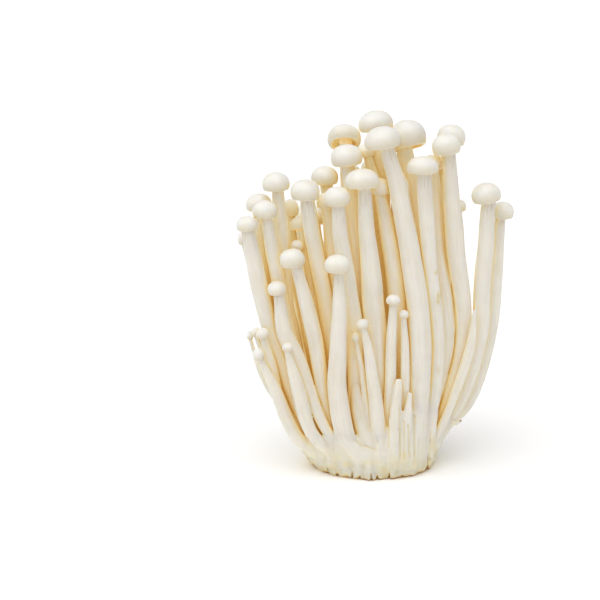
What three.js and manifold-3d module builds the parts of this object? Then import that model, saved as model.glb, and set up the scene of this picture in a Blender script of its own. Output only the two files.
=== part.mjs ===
// A bunch of long-stemmed white mushrooms on its fused, cut root mass. Millimetres, +Z up.
// The origin is the middle of the cut face that the bunch stands on. +Y runs from the front to the back.
import * as THREE from 'three';
import Module from 'manifold-3d';

// ---- Driving dimensions ----------------------------------------------------------------------------------

const CLEARANCE = 0.3; // gap between a mushroom and its hole
const STEM_SIDES = 6;
const CAP_SIDES = 2 * STEM_SIDES; // one gill ridge on every second side
const STEM_STEP = 17; // height between two rings of a stem

// How the mushrooms are bent apart
const KEPT_APART = 0.9; // gap between two mushrooms, aimed at before their surfaces are faceted
const LEVEL_STEP = 3; // height between the levels at which they are looked at
const LEVELS = 44;
const PASSES = 300;
const LARGEST_MOVE = 1; // in one pass
const LEAST = 0.01; // keeps two columns in one place apart
const SIDE_WEIGHT = 0.25; // how freely they move sideways, against 1 in depth
const SMOOTHING = 0.25; // how strongly a level follows the levels below and above it
const SLANT_SHARE = 0.6; // how much wider a slanting stem is taken to be

// The root mass, from the cut face up: height, half width in X, half width in Y, middle in X
const BASE_RINGS = [
  [0, 21, 20, -0.4],
  [1.5, 22.4, 20.5, -0.6],
  [5, 25.2, 20.8, -1.2],
  [9, 27, 20.6, -1.4],
  [12, 25.6, 19, -1],
  [14.5, 18, 13.5, -0.5],
];
const BASE_TOP = 15.8;
const BASE_SIDES = 44;
// Waves round the root mass: depth in shares of its half width, number round it, turn of the first
const CREVICES = [[0.02, 19, 0], [0.012, 31, 1]]; // near the cut
const CREVICE_TOP = 5;
const LUMPS = [[0.03, 9, 0.6]]; // above them
// The swollen front left corner
const LOBE_TURN = 3.65;
const LOBE_SWELL = 0.06;
const LOBE_SPREAD = 0.4;
const LOBE_RISE = 6;
// Roots keep this far inside the root mass, up to this height
const ROOT_WALL = 1.1;
const ROOT_REACH = 7;
const ROOT_LEVEL = 6;

// Mushrooms that stand in the front and middle. cap: width, height of the dome, sideways offset on its neck.
// tip: degrees that the cap leans to +X and to +Y. depth: Y at the root and at the neck.
// stem: X, Z and width, from the root up to the neck.
const FRONT_MUSHROOMS = [
  { cap: [12.3, 6.5, 0], tip: [-8, 0], depth: [4, 9],
    stem: [[1, 5, 3.2], [4, 30, 5.5], [4.5, 60, 6.5], [0, 119, 6]] },
  { cap: [12.5, 6.8, -1.2], tip: [-8, 0], depth: [-12, -5],
    stem: [[14, 6, 3.6], [15.5, 30, 7], [15, 55, 7.5], [8, 96, 6], [3, 115, 5]] },
  { cap: [13, 9.6, 2], tip: [-14, 16], depth: [0, 4],
    stem: [[14, 5, 3.2], [18, 41, 6], [17.5, 60, 6], [13, 95, 6], [9.5, 113.4, 5.5]] },
  { cap: [12, 6.8, -0.5], tip: [0, 38], depth: [6, 8],
    stem: [[-4, 5, 3.2], [-4.5, 36, 5.5], [-8.5, 80, 5.5], [-10.5, 114, 4.5]] },
  { cap: [11, 5.4, -0.5], tip: [0, 0], depth: [-8, -7],
    stem: [[18, 5.5, 3.2], [21, 43, 5], [17.5, 79, 5], [15.5, 106.4, 5]] },
  { cap: [11, 6.8, 0], tip: [-6, 0], depth: [-2, 2],
    stem: [[-3, 5, 3.2], [-2, 20, 5.2], [-4.5, 52, 5.5], [-10.5, 108.3, 4.5]] },
  { cap: [5.6, 4.3, -0.4], tip: [-8, 0], depth: [4, 6],
    stem: [[8, 5, 3.2], [8.5, 37, 5], [5.5, 78, 5], [-3.2, 110.3, 3]] },
  { cap: [12, 5.9, -0.6], tip: [-3, 0], depth: [-9, -8],
    stem: [[1.5, 6, 3.2], [0.5, 31, 6.5], [-1.5, 65, 7], [-3.5, 84, 5.5], [-4.6, 102, 4.5]] },
  { cap: [7.6, 5.2, 0], tip: [0, 0], depth: [-4, -1],
    stem: [[10, 5, 3.2], [9.5, 35, 5.5], [7, 66, 6], [3.5, 86, 5], [0.5, 98.4, 4]] },
  { cap: [5, 3, 0], tip: [0, 0], depth: [-15, -15],
    stem: [[4.5, 9, 2.6], [4, 22, 3], [5, 38, 3.5], [5.5, 62.3, 2.6]] },
  { cap: [3.7, 2.6, 0], tip: [0, 0], depth: [-15, -13],
    stem: [[7, 9, 2.4], [8.5, 23, 2.6], [10, 31, 2.8], [9, 56.9, 2.2]] },
  { cap: [7.4, 4.6, 0], tip: [0, 0], depth: [-4, 5],
    stem: [[18, 6, 3.2], [20, 17, 4.5], [25, 40, 5.5], [25.5, 53, 5.5], [21.5, 81.5, 4.6], [19.8, 106.2, 4]] },
  { cap: [10, 6.6, -0.8], tip: [-8, 0], depth: [-2, 0],
    stem: [[20, 5, 3.2], [25.5, 24, 4], [30.5, 51, 5], [27, 81.5, 6], [24.8, 112, 4.5]] },
  { cap: [10, 7, 0], tip: [4, 0], depth: [6, 8],
    stem: [[16, 5, 3.2], [20, 21.5, 4.5], [24.5, 62, 5], [22.8, 98, 4.5], [26, 113.7, 4.5]] },
  { cap: [5.5, 4, 0], tip: [0, 0], depth: [10, 10],
    stem: [[16, 5, 3.2], [23.5, 20, 3.5], [27, 43, 3.5], [29.4, 90, 3]] },
  { cap: [10.3, 6.4, -0.5], tip: [-10, 0], depth: [-1, 1],
    stem: [[21, 6, 3.2], [30.5, 23.5, 4], [37, 47, 5.5], [37.5, 63.5, 5.5], [39, 95, 5]] },
  { cap: [8, 5.6, 0.5], tip: [4, 0], depth: [3, 7],
    stem: [[23.5, 6.5, 3.2], [29.2, 12.9, 4.2], [35.2, 20, 4.2], [41, 41, 3.8], [42.2, 58.5, 4.4],
      [44, 88.2, 3.5]] },
  { tip: [0, 0], depth: [-6, -3],
    stem: [[19.5, 9, 2.2], [25.5, 21, 2.5], [32, 41, 3], [34.5, 57.5, 1.4]] },
  { cap: [4.3, 3, -0.2], tip: [-8, 0], depth: [-16, -17],
    stem: [[2.5, 8, 3.2], [1, 20, 4.5], [-2, 41, 3.5], [-4.8, 54.2, 2.2]] },
  { cap: [8.8, 5.6, -0.5], tip: [0, 0], depth: [-15, -20],
    stem: [[-7, 8, 3.6], [-11.5, 15, 6], [-14, 35.5, 6], [-13, 60, 4.5], [-13.5, 74.3, 3.2]] },
  { cap: [9.2, 6, -0.2], tip: [-4, 0], depth: [-10, -11],
    stem: [[-3, 7, 3.2], [-6, 16, 5.2], [-8, 55, 5.5], [-13, 86, 5], [-13.6, 95.9, 4.5]] },
  { cap: [8.8, 5.8, -1], tip: [-8, 0], depth: [-12, -15],
    stem: [[-12, 7, 3.2], [-17.5, 21, 4], [-22, 52, 5], [-28, 75.3, 4]] },
  { cap: [6.4, 4.4, -0.5], tip: [-2, 0], depth: [-12, -16],
    stem: [[-15, 8, 3], [-21, 20, 3.5], [-28.5, 44, 5.5], [-32, 52, 5.2], [-34, 65.6, 3.6]] },
  { cap: [3.8, 2.6, 0], tip: [0, 0], depth: [-13, -22],
    stem: [[-22, 8, 3.2], [-27.5, 16, 4], [-29, 31, 4.5], [-31.8, 46.8, 2.3]] },
  { cap: [4, 4, -0.2], tip: [-15, 0], depth: [-10, -20],
    stem: [[-25, 6.5, 3.2], [-30.6, 12.5, 4.2], [-33.6, 20.5, 4.4], [-36.2, 31, 3.8], [-41, 43, 2.2]] },
  { cap: [4.6, 3.2, 0], tip: [-10, 0], depth: [-5, -16],
    stem: [[-24, 8, 2.8], [-30, 18, 3], [-35.5, 39, 4], [-38.3, 50.2, 2.2]] },
  { cap: [7.5, 4.6, 0], tip: [-6, 0], depth: [-9, -13],
    stem: [[-21.5, 8, 3.2], [-29, 24, 4.5], [-35, 42.5, 5], [-41, 69, 5.5], [-44.5, 87.4, 4.5]] },
  { cap: [4.5, 4.2, -0.2], tip: [-8, 0], depth: [-3, -5],
    stem: [[-20, 7, 3], [-27.5, 20.5, 3.2], [-33.5, 35.5, 3.5], [-45.5, 81, 2.6]] },
  { cap: [8.8, 5.4, -0.5], tip: [0, 0], depth: [-7, -9],
    stem: [[-14, 7, 3.2], [-22.5, 22, 4], [-32, 56.5, 4.5], [-38.2, 91.5, 4]] },
  { cap: [9.2, 5.6, -0.3], tip: [-4, 0], depth: [-1, -2],
    stem: [[-17, 6, 3.2], [-24, 20, 4.5], [-34, 49.5, 5], [-41, 80, 4.8], [-40, 92.2, 4]] },
  { cap: [9.6, 5.8, -0.5], tip: [-3, 0], depth: [-3, -3],
    stem: [[-14, 5.5, 3.2], [-21, 18.5, 4.5], [-31, 55, 5], [-32.4, 73, 5.2], [-34.5, 99.8, 4]] },
  { cap: [10.2, 6.6, -0.8], tip: [0, 0], depth: [-4, -5],
    stem: [[-8, 5, 3.2], [-11, 17, 4.5], [-17, 58, 5], [-22, 86, 5], [-23.4, 97.2, 5]] },
  { cap: [5.6, 5.6, 0], tip: [0, 0], depth: [6, 4],
    stem: [[-12, 5, 3.2], [-17.5, 17.5, 3.6], [-26.5, 59, 4], [-29.8, 89.6, 3]] },
  { cap: [6.4, 4.4, -0.5], tip: [0, 20], depth: [0, -1],
    stem: [[-11, 5, 3], [-14.5, 19.5, 3.5], [-21.5, 58, 3.5], [-26.5, 85.1, 3]] },
  { cap: [4.2, 3, 0], tip: [0, 0], depth: [-3, -4],
    stem: [[-12, 5.5, 3], [-19, 24, 3.2], [-23.5, 46, 3.5], [-27.8, 79.2, 2.6]] },
  { cap: [9.5, 6, -0.5], tip: [0, 0], depth: [3, 4],
    stem: [[-7.5, 5, 3.2], [-8.5, 22.5, 5], [-13, 59, 5], [-17.5, 100.7, 4.5]] },
  { cap: [6, 5, -0.4], tip: [0, 0], depth: [0, -4],
    stem: [[-6, 5, 3.2], [-8, 23.5, 4], [-14, 60.5, 4.8], [-18.4, 93.2, 3.6]] },
  { cap: [5, 3.8, -0.2], tip: [0, 0], depth: [2, 2],
    stem: [[-1, 5, 3], [-2, 22.5, 3.5], [-6, 65, 3.5], [-8.5, 84.7, 2.6]] },
];

// The smallest pins and stubs, which are one piece with the root mass
const PINS = [
  { cap: [3, 3, -0.1], tip: [-6, 0], depth: [-14, -16],
    stem: [[-1.5, 9, 2.2], [-3, 25, 2.1], [-7, 49, 1.6]] },
  { cap: [3, 3, 0], tip: [0, 0], depth: [-6, -14],
    stem: [[-22, 7, 2.4], [-35.5, 32, 2.1], [-42, 49.5, 1.6]] },
  { cap: [2.2, 3, 0], tip: [0, 0], depth: [-5, -13],
    stem: [[-23, 9, 2], [-38.5, 30, 1.6], [-44, 48, 1.3]] },
  { tip: [0, 0], depth: [-16, -16], stem: [[4.5, 10, 2.4], [6, 24, 2.4], [7, 36, 2.2]] },
  { tip: [0, 0], depth: [-16, -17], stem: [[10.5, 9, 2.6], [11, 20, 2.4], [12, 31, 1.2]] },
];

// The hidden back, by rule
const BACK_COUNT = 21;
const BACK_SEED = 7;
const BACK_TALLEST = 107; // height of the neck in the middle of the bunch
const BACK_FALL = 0.024; // how fast the heights fall off to the sides, per mm
const BACK_MIDDLE = 6; // X of the tallest part
const BACK_ROOTS = [-17, 17]; // X from the leftmost to the rightmost
const BACK_NECKS = [-34, 24];
const BACK_STRAY = [-1.5, 1.5];
const BACK_SHORTER = [0, 8];
const BACK_ROOT = [5, 3]; // height and width of the root
const BACK_STEM_WIDTH = [4.4, 5.8];
const BACK_TAPER = 0.85; // width at the neck, against that of the stem
const BACK_CAP_WIDTH = [7.5, 11];
const BACK_CAP_RISE = 0.62;
const BACK_SPLAY = 0.3; // degrees of sideways lean, per mm from the middle
// Three staggered rows: Y at the root and at the neck, how much lower the neck is, backward lean
const BACK_ROWS = [
  { rootY: 6, neckY: 14, drop: 0, lean: 4 },
  { rootY: 11, neckY: 23, drop: 7, lean: 9 },
  { rootY: 16, neckY: 32, drop: 20, lean: 14 },
];

// The gills' ring lies between neck and lip, and its points rise in turn by these shares of the dome's height
const GILL_REACH = 0.5;
const GILL_RISE = [-0.02, 0.22];
// The rest of a cap's section in shares of its half width and of its dome's height, from the lip to the crown
const CAP_SECTION = [[0.84, -0.05], [1, 0.26], [0.87, 0.65], [0.5, 0.91]];

const FLESH = { color: 0xf1ecdd, roughness: 0.45, metalness: 0 };
const ROOT = { color: 0xe9dcb8, roughness: 0.75, metalness: 0 };

// ---- Small tools -----------------------------------------------------------------------------------------

const wasm = await Module();
wasm.setup();

function seededDraw(seed) {
  let state = seed;
  return () => {
    state = (state * 16807) % 2147483647;
    return state / 2147483647;
  };
}

const smooth = (share) => share * share * (3 - 2 * share);

// A closed skin over rings of points. The next ring has as many points as the last one, or twice as many.
class Skin {
  constructor() {
    this.points = [];
    this.faces = [];
  }

  ring(points) {
    const first = this.points.length;
    this.points.push(...points);
    return points.map((_, index) => first + index);
  }

  join(lower, upper) {
    const count = lower.length;
    for (let i = 0; i < count; i += 1) {
      const next = (i + 1) % count;
      if (upper.length === count) {
        this.faces.push([lower[i], lower[next], upper[next]], [lower[i], upper[next], upper[i]]);
      } else {
        const [here, middle, there] = [upper[2 * i], upper[2 * i + 1], upper[2 * next]];
        this.faces.push([lower[i], middle, here], [lower[i], lower[next], middle]);
        this.faces.push([lower[next], there, middle]);
      }
    }
  }

  close(ring, tip, isTop) {
    const [end] = this.ring([tip]);
    ring.forEach((index, i) => {
      const next = ring[(i + 1) % ring.length];
      this.faces.push(isTop ? [index, next, end] : [next, index, end]);
    });
  }

  solid() {
    const vertProperties = new Float32Array(this.points.flatMap((point) => point.toArray()));
    const triVerts = new Uint32Array(this.faces.flat());
    return new wasm.Manifold(new wasm.Mesh({ numProp: 3, vertProperties, triVerts }));
  }
}

// ---- Where the mushrooms run ------------------------------------------------------------------------------

// Value of a row of [x, z, width] points at a height, on a smooth curve through them
function rowAt(row, z, column) {
  let i = 0;
  while (i < row.length - 2 && z > row[i + 1][1]) i += 1;
  const slope = (k) => {
    const before = row[Math.max(k - 1, 0)];
    const after = row[Math.min(k + 1, row.length - 1)];
    return (after[column] - before[column]) / (after[1] - before[1]);
  };
  const span = row[i + 1][1] - row[i][1];
  const t = Math.min(Math.max((z - row[i][1]) / span, 0), 1);
  const rise = t * t * (3 - 2 * t);
  const leave = t * (1 - t) * (1 - t) * span * slope(i);
  const arrive = t * t * (1 - t) * span * slope(i + 1);
  return row[i][column] * (1 - rise) + row[i + 1][column] * rise + leave - arrive;
}

function capRadiusAt(mushroom, z) {
  const [width, height] = mushroom.cap;
  const share = Math.min(Math.max((z - mushroom.neck) / height, 0), 1);
  return (width / 2) * Math.sqrt(1 - share * share);
}

// Mushrooms as columns of levels: at each level the middle in X and Y and the half width
function layOut(spec) {
  const root = spec.stem[0][1];
  const neck = spec.stem[spec.stem.length - 1][1];
  const mushroom = { ...spec, root, neck, levels: [] };
  const top = neck + (spec.cap ? spec.cap[1] : 0);
  for (let k = 0; k < LEVELS; k += 1) {
    const z = k * LEVEL_STEP;
    if (z < root - LEVEL_STEP || z > top + LEVEL_STEP) {
      mushroom.levels.push(null);
      continue;
    }
    const inStem = Math.min(Math.max(z, root), neck);
    const share = smooth((inStem - root) / (neck - root));
    const x = rowAt(spec.stem, inStem, 0);
    const y = spec.depth[0] + (spec.depth[1] - spec.depth[0]) * share;
    const ahead = rowAt(spec.stem, Math.min(inStem + 1, neck), 0);
    const lean = (ahead - rowAt(spec.stem, Math.max(inStem - 1, root), 0)) / 2;
    const inCap = spec.cap && z > neck - LEVEL_STEP / 2;
    const reach = inCap
      ? capRadiusAt(mushroom, z)
      : (rowAt(spec.stem, inStem, 2) / 2) * Math.hypot(1, Math.min(Math.abs(lean), 1) * SLANT_SHARE);
    const offset = inCap ? spec.cap[2] : 0;
    mushroom.levels.push({ x, y, offset, reach, fixedX: x });
  }
  return mushroom;
}

// Bends the mushrooms apart at every level, mainly in depth, until each pair is clear
function spreadApart(mushrooms) {
  for (let pass = 0; pass < PASSES; pass += 1) {
    const moves = mushrooms.map(() => Array.from({ length: LEVELS }, () => [0, 0, 0]));
    for (let k = 0; k < LEVELS; k += 1) {
      for (let a = 0; a < mushrooms.length; a += 1) {
        const one = mushrooms[a].levels[k];
        if (!one) continue;
        for (let b = a + 1; b < mushrooms.length; b += 1) {
          const other = mushrooms[b].levels[k];
          if (!other) continue;
          const dx = other.x + other.offset - one.x - one.offset;
          const dy = other.y - one.y;
          const apart = Math.max(Math.hypot(dx, dy), LEAST);
          const lack = one.reach + other.reach + KEPT_APART - apart;
          if (lack <= 0) continue;
          const nx = dx / apart;
          const ny = dy / apart;
          const share = lack / (2 * (SIDE_WEIGHT * nx * nx + ny * ny) + LEAST);
          const moveX = Math.sign(nx) * Math.min(share * SIDE_WEIGHT * Math.abs(nx), LARGEST_MOVE);
          const moveY = (ny < 0 ? -1 : 1) * Math.min(share * Math.abs(ny) + LEAST, LARGEST_MOVE);
          moves[a][k][0] -= moveX;
          moves[a][k][1] -= moveY;
          moves[a][k][2] += 1;
          moves[b][k][0] += moveX;
          moves[b][k][1] += moveY;
          moves[b][k][2] += 1;
        }
      }
    }
    mushrooms.forEach((mushroom, m) => {
      mushroom.levels.forEach((level, k) => {
        if (!level) return;
        const [moveX, moveY, count] = moves[m][k];
        const damp = 1 / Math.sqrt(Math.max(count, 1));
        level.x += moveX * damp;
        level.y += moveY * damp;
      });
      if (pass < PASSES - 1) evenOut(mushroom);
      stayInBase(mushroom);
    });
  }
}

// A column's bend changes evenly from level to level
function evenOut(mushroom) {
  const { levels } = mushroom;
  const bends = levels.map((level) => level && [level.x - level.fixedX, level.y]);
  levels.forEach((level, k) => {
    if (!level) return;
    const below = bends[k - 1] || bends[k];
    const above = bends[k + 1] || bends[k];
    level.x += SMOOTHING * ((below[0] + above[0]) / 2 - bends[k][0]);
    level.y += SMOOTHING * ((below[1] + above[1]) / 2 - bends[k][1]);
  });
}

function baseHalfWidths(z) {
  const rings = BASE_RINGS;
  let i = 0;
  while (i < rings.length - 2 && z > rings[i + 1][0]) i += 1;
  const t = Math.min(Math.max((z - rings[i][0]) / (rings[i + 1][0] - rings[i][0]), 0), 1);
  return [1, 2, 3].map((column) => rings[i][column] * (1 - t) + rings[i + 1][column] * t);
}

// Roots keep inside the root mass
function stayInBase(mushroom) {
  mushroom.levels.forEach((level, k) => {
    const z = k * LEVEL_STEP;
    if (!level || z > ROOT_REACH) return;
    const [halfX, halfY, middle] = baseHalfWidths(Math.max(z, ROOT_LEVEL));
    const limitX = halfX - level.reach - ROOT_WALL;
    const limitY = halfY - level.reach - ROOT_WALL;
    const over = Math.hypot((level.x - middle) / limitX, level.y / limitY);
    if (over <= 1) return;
    level.x = middle + (level.x - middle) / over;
    level.y /= over;
  });
}

function backMushrooms() {
  const draw = seededDraw(BACK_SEED);
  const between = ([least, most]) => least + (most - least) * draw();
  return Array.from({ length: BACK_COUNT }, (_, i) => {
    const across = (i + 0.5) / BACK_COUNT; // 0 at the left, 1 at the right
    const row = BACK_ROWS[i % BACK_ROWS.length];
    const rootX = BACK_ROOTS[0] + (BACK_ROOTS[1] - BACK_ROOTS[0]) * across;
    const neckX = BACK_NECKS[0] + (BACK_NECKS[1] - BACK_NECKS[0]) * across + between(BACK_STRAY);
    const neckY = row.neckY + between(BACK_STRAY);
    const fall = BACK_FALL * (neckX - BACK_MIDDLE) ** 2;
    const neckZ = BACK_TALLEST - row.drop - fall - between(BACK_SHORTER);
    const width = between(BACK_STEM_WIDTH);
    const capWidth = between(BACK_CAP_WIDTH);
    const place = (share) => rootX + share * (neckX - rootX);
    return {
      cap: [capWidth, BACK_CAP_RISE * capWidth, 0],
      tip: [BACK_SPLAY * (neckX - BACK_MIDDLE), row.lean],
      depth: [row.rootY, neckY],
      stem: [
        [rootX, BACK_ROOT[0], BACK_ROOT[1]],
        [place(0.3), 0.3 * neckZ, width],
        [place(0.7), 0.65 * neckZ, width],
        [neckX, neckZ, BACK_TAPER * width],
      ],
    };
  });
}

// ---- One mushroom -----------------------------------------------------------------------------------------

function middleAt(mushroom, z) {
  const low = Math.min(Math.floor(z / LEVEL_STEP), LEVELS - 2);
  const t = z / LEVEL_STEP - low;
  const below = mushroom.levels[low] || mushroom.levels[low + 1];
  const above = mushroom.levels[low + 1] || below;
  const x = rowAt(mushroom.stem, z, 0);
  const bend = (below.x - below.fixedX) * (1 - t) + (above.x - above.fixedX) * t;
  return new THREE.Vector3(x + bend, below.y * (1 - t) + above.y * t, z);
}

function circle(middle, side, back, radius, count, heightOf = () => 0, up = null) {
  return Array.from({ length: count }, (_, i) => {
    const turn = (2 * Math.PI * i) / count;
    const point = middle.clone();
    point.addScaledVector(side, radius(i) * Math.cos(turn));
    point.addScaledVector(back, radius(i) * Math.sin(turn));
    return up ? point.addScaledVector(up, heightOf(i)) : point;
  });
}

// The heights of a stem's rings, from the root up to the neck
function ringHeights({ root, neck }) {
  const steps = Math.max(3, Math.round((neck - root) / STEM_STEP));
  return Array.from({ length: steps + 1 }, (_, i) => root + ((neck - root) * i) / steps);
}

function growStem(skin, mushroom, heights, inflate) {
  let ring = null;
  for (const z of heights) {
    const middle = middleAt(mushroom, z);
    const lower = middleAt(mushroom, Math.max(z - 2, mushroom.root));
    const upper = middleAt(mushroom, Math.min(z + 2, mushroom.neck));
    const along = upper.sub(lower).normalize();
    const side = new THREE.Vector3(0, 1, 0).cross(along).normalize();
    const back = along.clone().cross(side);
    const half = rowAt(mushroom.stem, z, 2) / 2 + inflate;
    if (!ring) middle.addScaledVector(along, -inflate);
    const next = skin.ring(circle(middle, side, back, () => half, STEM_SIDES));
    if (ring) skin.join(ring, next);
    else skin.close(next, middle, false);
    ring = next;
  }
  return ring;
}

function growMushroom(mushroom) {
  const skin = new Skin();
  const neckRing = growStem(skin, mushroom, ringHeights(mushroom), 0);
  if (mushroom.cap) {
    growCap(skin, neckRing, mushroom);
  } else {
    const tip = middleAt(mushroom, mushroom.neck);
    tip.z += rowAt(mushroom.stem, mushroom.neck, 2) / 3;
    skin.close(neckRing, tip, true);
  }
  return skin.solid();
}

// The plain hole that a mushroom stands in: its own stem, wider by the clearance, up past the root mass
function growHole(mushroom) {
  const skin = new Skin();
  const all = ringHeights(mushroom);
  const heights = all.slice(0, all.findIndex((z) => z > BASE_TOP + 1) + 1);
  const ring = growStem(skin, mushroom, heights, CLEARANCE);
  skin.close(ring, middleAt(mushroom, heights[heights.length - 1]), true);
  return skin.solid();
}

function growCap(skin, neckRing, mushroom) {
  const [width, height, shift] = mushroom.cap;
  const [leanX, leanY] = mushroom.tip.map(THREE.MathUtils.degToRad);
  const up = new THREE.Vector3(Math.sin(leanX), Math.sin(leanY), Math.cos(leanX) * Math.cos(leanY));
  up.normalize();
  const side = new THREE.Vector3(0, 1, 0).cross(up).normalize();
  const back = up.clone().cross(side);
  const middle = middleAt(mushroom, mushroom.neck).add(new THREE.Vector3(shift, 0, 0));
  const half = width / 2;
  const neckHalf = rowAt(mushroom.stem, mushroom.neck, 2) / 2;
  const gillHalf = neckHalf + GILL_REACH * (half * CAP_SECTION[0][0] - neckHalf);
  const gillMiddle = middle.clone().add(new THREE.Vector3((GILL_REACH - 1) * shift, 0, 0));
  const gillHeight = (i) => height * GILL_RISE[i % 2];
  let ring = skin.ring(circle(gillMiddle, side, back, () => gillHalf, CAP_SIDES, gillHeight, up));
  skin.join(neckRing, ring);
  for (const [share, rise] of CAP_SECTION) {
    const outline = circle(middle, side, back, () => half * share, CAP_SIDES, () => height * rise, up);
    const next = skin.ring(outline);
    skin.join(ring, next);
    ring = next;
  }
  skin.close(ring, middle.clone().addScaledVector(up, height), true);
}

// ---- The fused root mass ----------------------------------------------------------------------------------

function baseOutline(turn, z) {
  const waves = z < CREVICE_TOP ? CREVICES : LUMPS;
  const wave = waves.reduce((sum, [depth, number, first]) => sum + depth * Math.cos(number * turn + first), 0);
  const away = Math.atan2(Math.sin(turn - LOBE_TURN), Math.cos(turn - LOBE_TURN));
  const lobe = LOBE_SWELL * Math.exp(-((away / LOBE_SPREAD) ** 2)) * smooth(Math.min(z / LOBE_RISE, 1));
  return 1 + wave + lobe;
}

function growRootMass() {
  const skin = new Skin();
  let ring = null;
  for (const [z, halfX, halfY, middleX] of BASE_RINGS) {
    const points = Array.from({ length: BASE_SIDES }, (_, i) => {
      const turn = (2 * Math.PI * i) / BASE_SIDES;
      const out = baseOutline(turn, z);
      return new THREE.Vector3(middleX + out * halfX * Math.cos(turn), out * halfY * Math.sin(turn), z);
    });
    const next = skin.ring(points);
    if (ring) skin.join(ring, next);
    else skin.close(next, new THREE.Vector3(0, 0, 0), false);
    ring = next;
  }
  skin.close(ring, new THREE.Vector3(0, 0, BASE_TOP), true);
  return skin.solid();
}

// ---- The bunch --------------------------------------------------------------------------------------------

function toMesh(name, solid, look) {
  const { vertProperties, triVerts, numProp } = solid.getMesh();
  const geometry = new THREE.BufferGeometry();
  const positions = new Float32Array((vertProperties.length / numProp) * 3);
  for (let i = 0; i * numProp < vertProperties.length; i += 1) {
    positions.set(vertProperties.slice(i * numProp, i * numProp + 3), i * 3);
  }
  geometry.setAttribute('position', new THREE.BufferAttribute(positions, 3));
  geometry.setIndex(new THREE.BufferAttribute(new Uint32Array(triVerts), 1));
  geometry.computeVertexNormals();
  const mesh = new THREE.Mesh(geometry, new THREE.MeshStandardMaterial(look));
  mesh.name = name;
  return mesh;
}

const larger = (one, other) => (other.volume() > one.volume() ? other : one);
const biggest = (solid) => solid.decompose().reduce(larger);

const front = FRONT_MUSHROOMS.map(layOut);
const back = backMushrooms().map(layOut);
const pins = PINS.map(layOut);
spreadApart([...front, ...back, ...pins]);

const holes = [...front, ...back].map(growHole);
const grownPins = pins.map(growMushroom);
const rootMass = wasm.Manifold.union([growRootMass(), ...grownPins]).subtract(wasm.Manifold.union(holes));

const bunch = new THREE.Group();
bunch.name = 'enoki_mushroom_bunch';
bunch.add(toMesh('cut_base', biggest(rootMass), ROOT));
const addRow = (rowName, mushrooms) => mushrooms.forEach((mushroom, index) => {
  const name = `${rowName}_${String(index + 1).padStart(2, '0')}`;
  bunch.add(toMesh(name, growMushroom(mushroom), FLESH));
});
addRow('mushroom_front', front);
addRow('mushroom_back', back);

export default bunch;
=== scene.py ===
"""A bunch of long-stemmed white mushrooms, and the cut root mass that they grow from."""
import math

import bmesh
import bpy
import numpy as np
from mathutils import Matrix, Vector, noise


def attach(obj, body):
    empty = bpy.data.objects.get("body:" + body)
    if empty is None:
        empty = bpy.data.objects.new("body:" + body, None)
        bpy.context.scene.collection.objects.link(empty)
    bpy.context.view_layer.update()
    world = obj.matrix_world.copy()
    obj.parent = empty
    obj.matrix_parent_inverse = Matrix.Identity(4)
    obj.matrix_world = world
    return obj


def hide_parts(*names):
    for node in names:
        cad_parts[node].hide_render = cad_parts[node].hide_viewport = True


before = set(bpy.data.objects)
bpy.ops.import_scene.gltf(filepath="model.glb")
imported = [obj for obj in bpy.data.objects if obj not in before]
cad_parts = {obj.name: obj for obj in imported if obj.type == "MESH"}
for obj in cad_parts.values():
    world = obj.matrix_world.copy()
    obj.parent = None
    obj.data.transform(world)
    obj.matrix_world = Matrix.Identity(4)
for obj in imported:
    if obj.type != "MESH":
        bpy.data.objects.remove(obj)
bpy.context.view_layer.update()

MM = 0.001  # the sizes below are in millimetres, as they are on the solids
FULL_TURN = 2 * math.pi

# ---- Where the mushrooms stand, as on the solids ----

KEPT_APART = 0.9  # gap between two mushrooms, aimed at before they are modelled
LEVEL_STEP = 3  # height between the levels at which mushrooms are kept apart
LEVELS = 44
PASSES = 300
SIDE_WEIGHT = 0.25  # how freely they move sideways, against 1 in depth
SMOOTHING = 0.25
LEAST = 0.01  # keeps two columns in one place apart
LEAN_SHARE = 0.6  # how far a stem's lean widens its level cut

# The root mass, from the cut face up: height, half width in X, half width in Y, middle in X
BASE_RINGS = [
    (0, 21, 20, -0.4),
    (1.5, 22.4, 20.5, -0.6),
    (5, 25.2, 20.8, -1.2),
    (9, 27, 20.6, -1.4),
    (12, 25.6, 19, -1),
    (14.5, 18, 13.5, -0.5),
]
BASE_TOP = 15.8
LOBE_TURN = 3.65  # direction of the swollen front left corner
LOBE_SWELL = 0.06
LOBE_SPREAD = 0.4
ROOT_WALL = 1.1  # flesh between a root and the outline
ROOT_REACH = 7  # roots are kept inside the outline up to this height
ROOT_OUTLINE = 6  # and below this height, inside the outline at it

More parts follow.
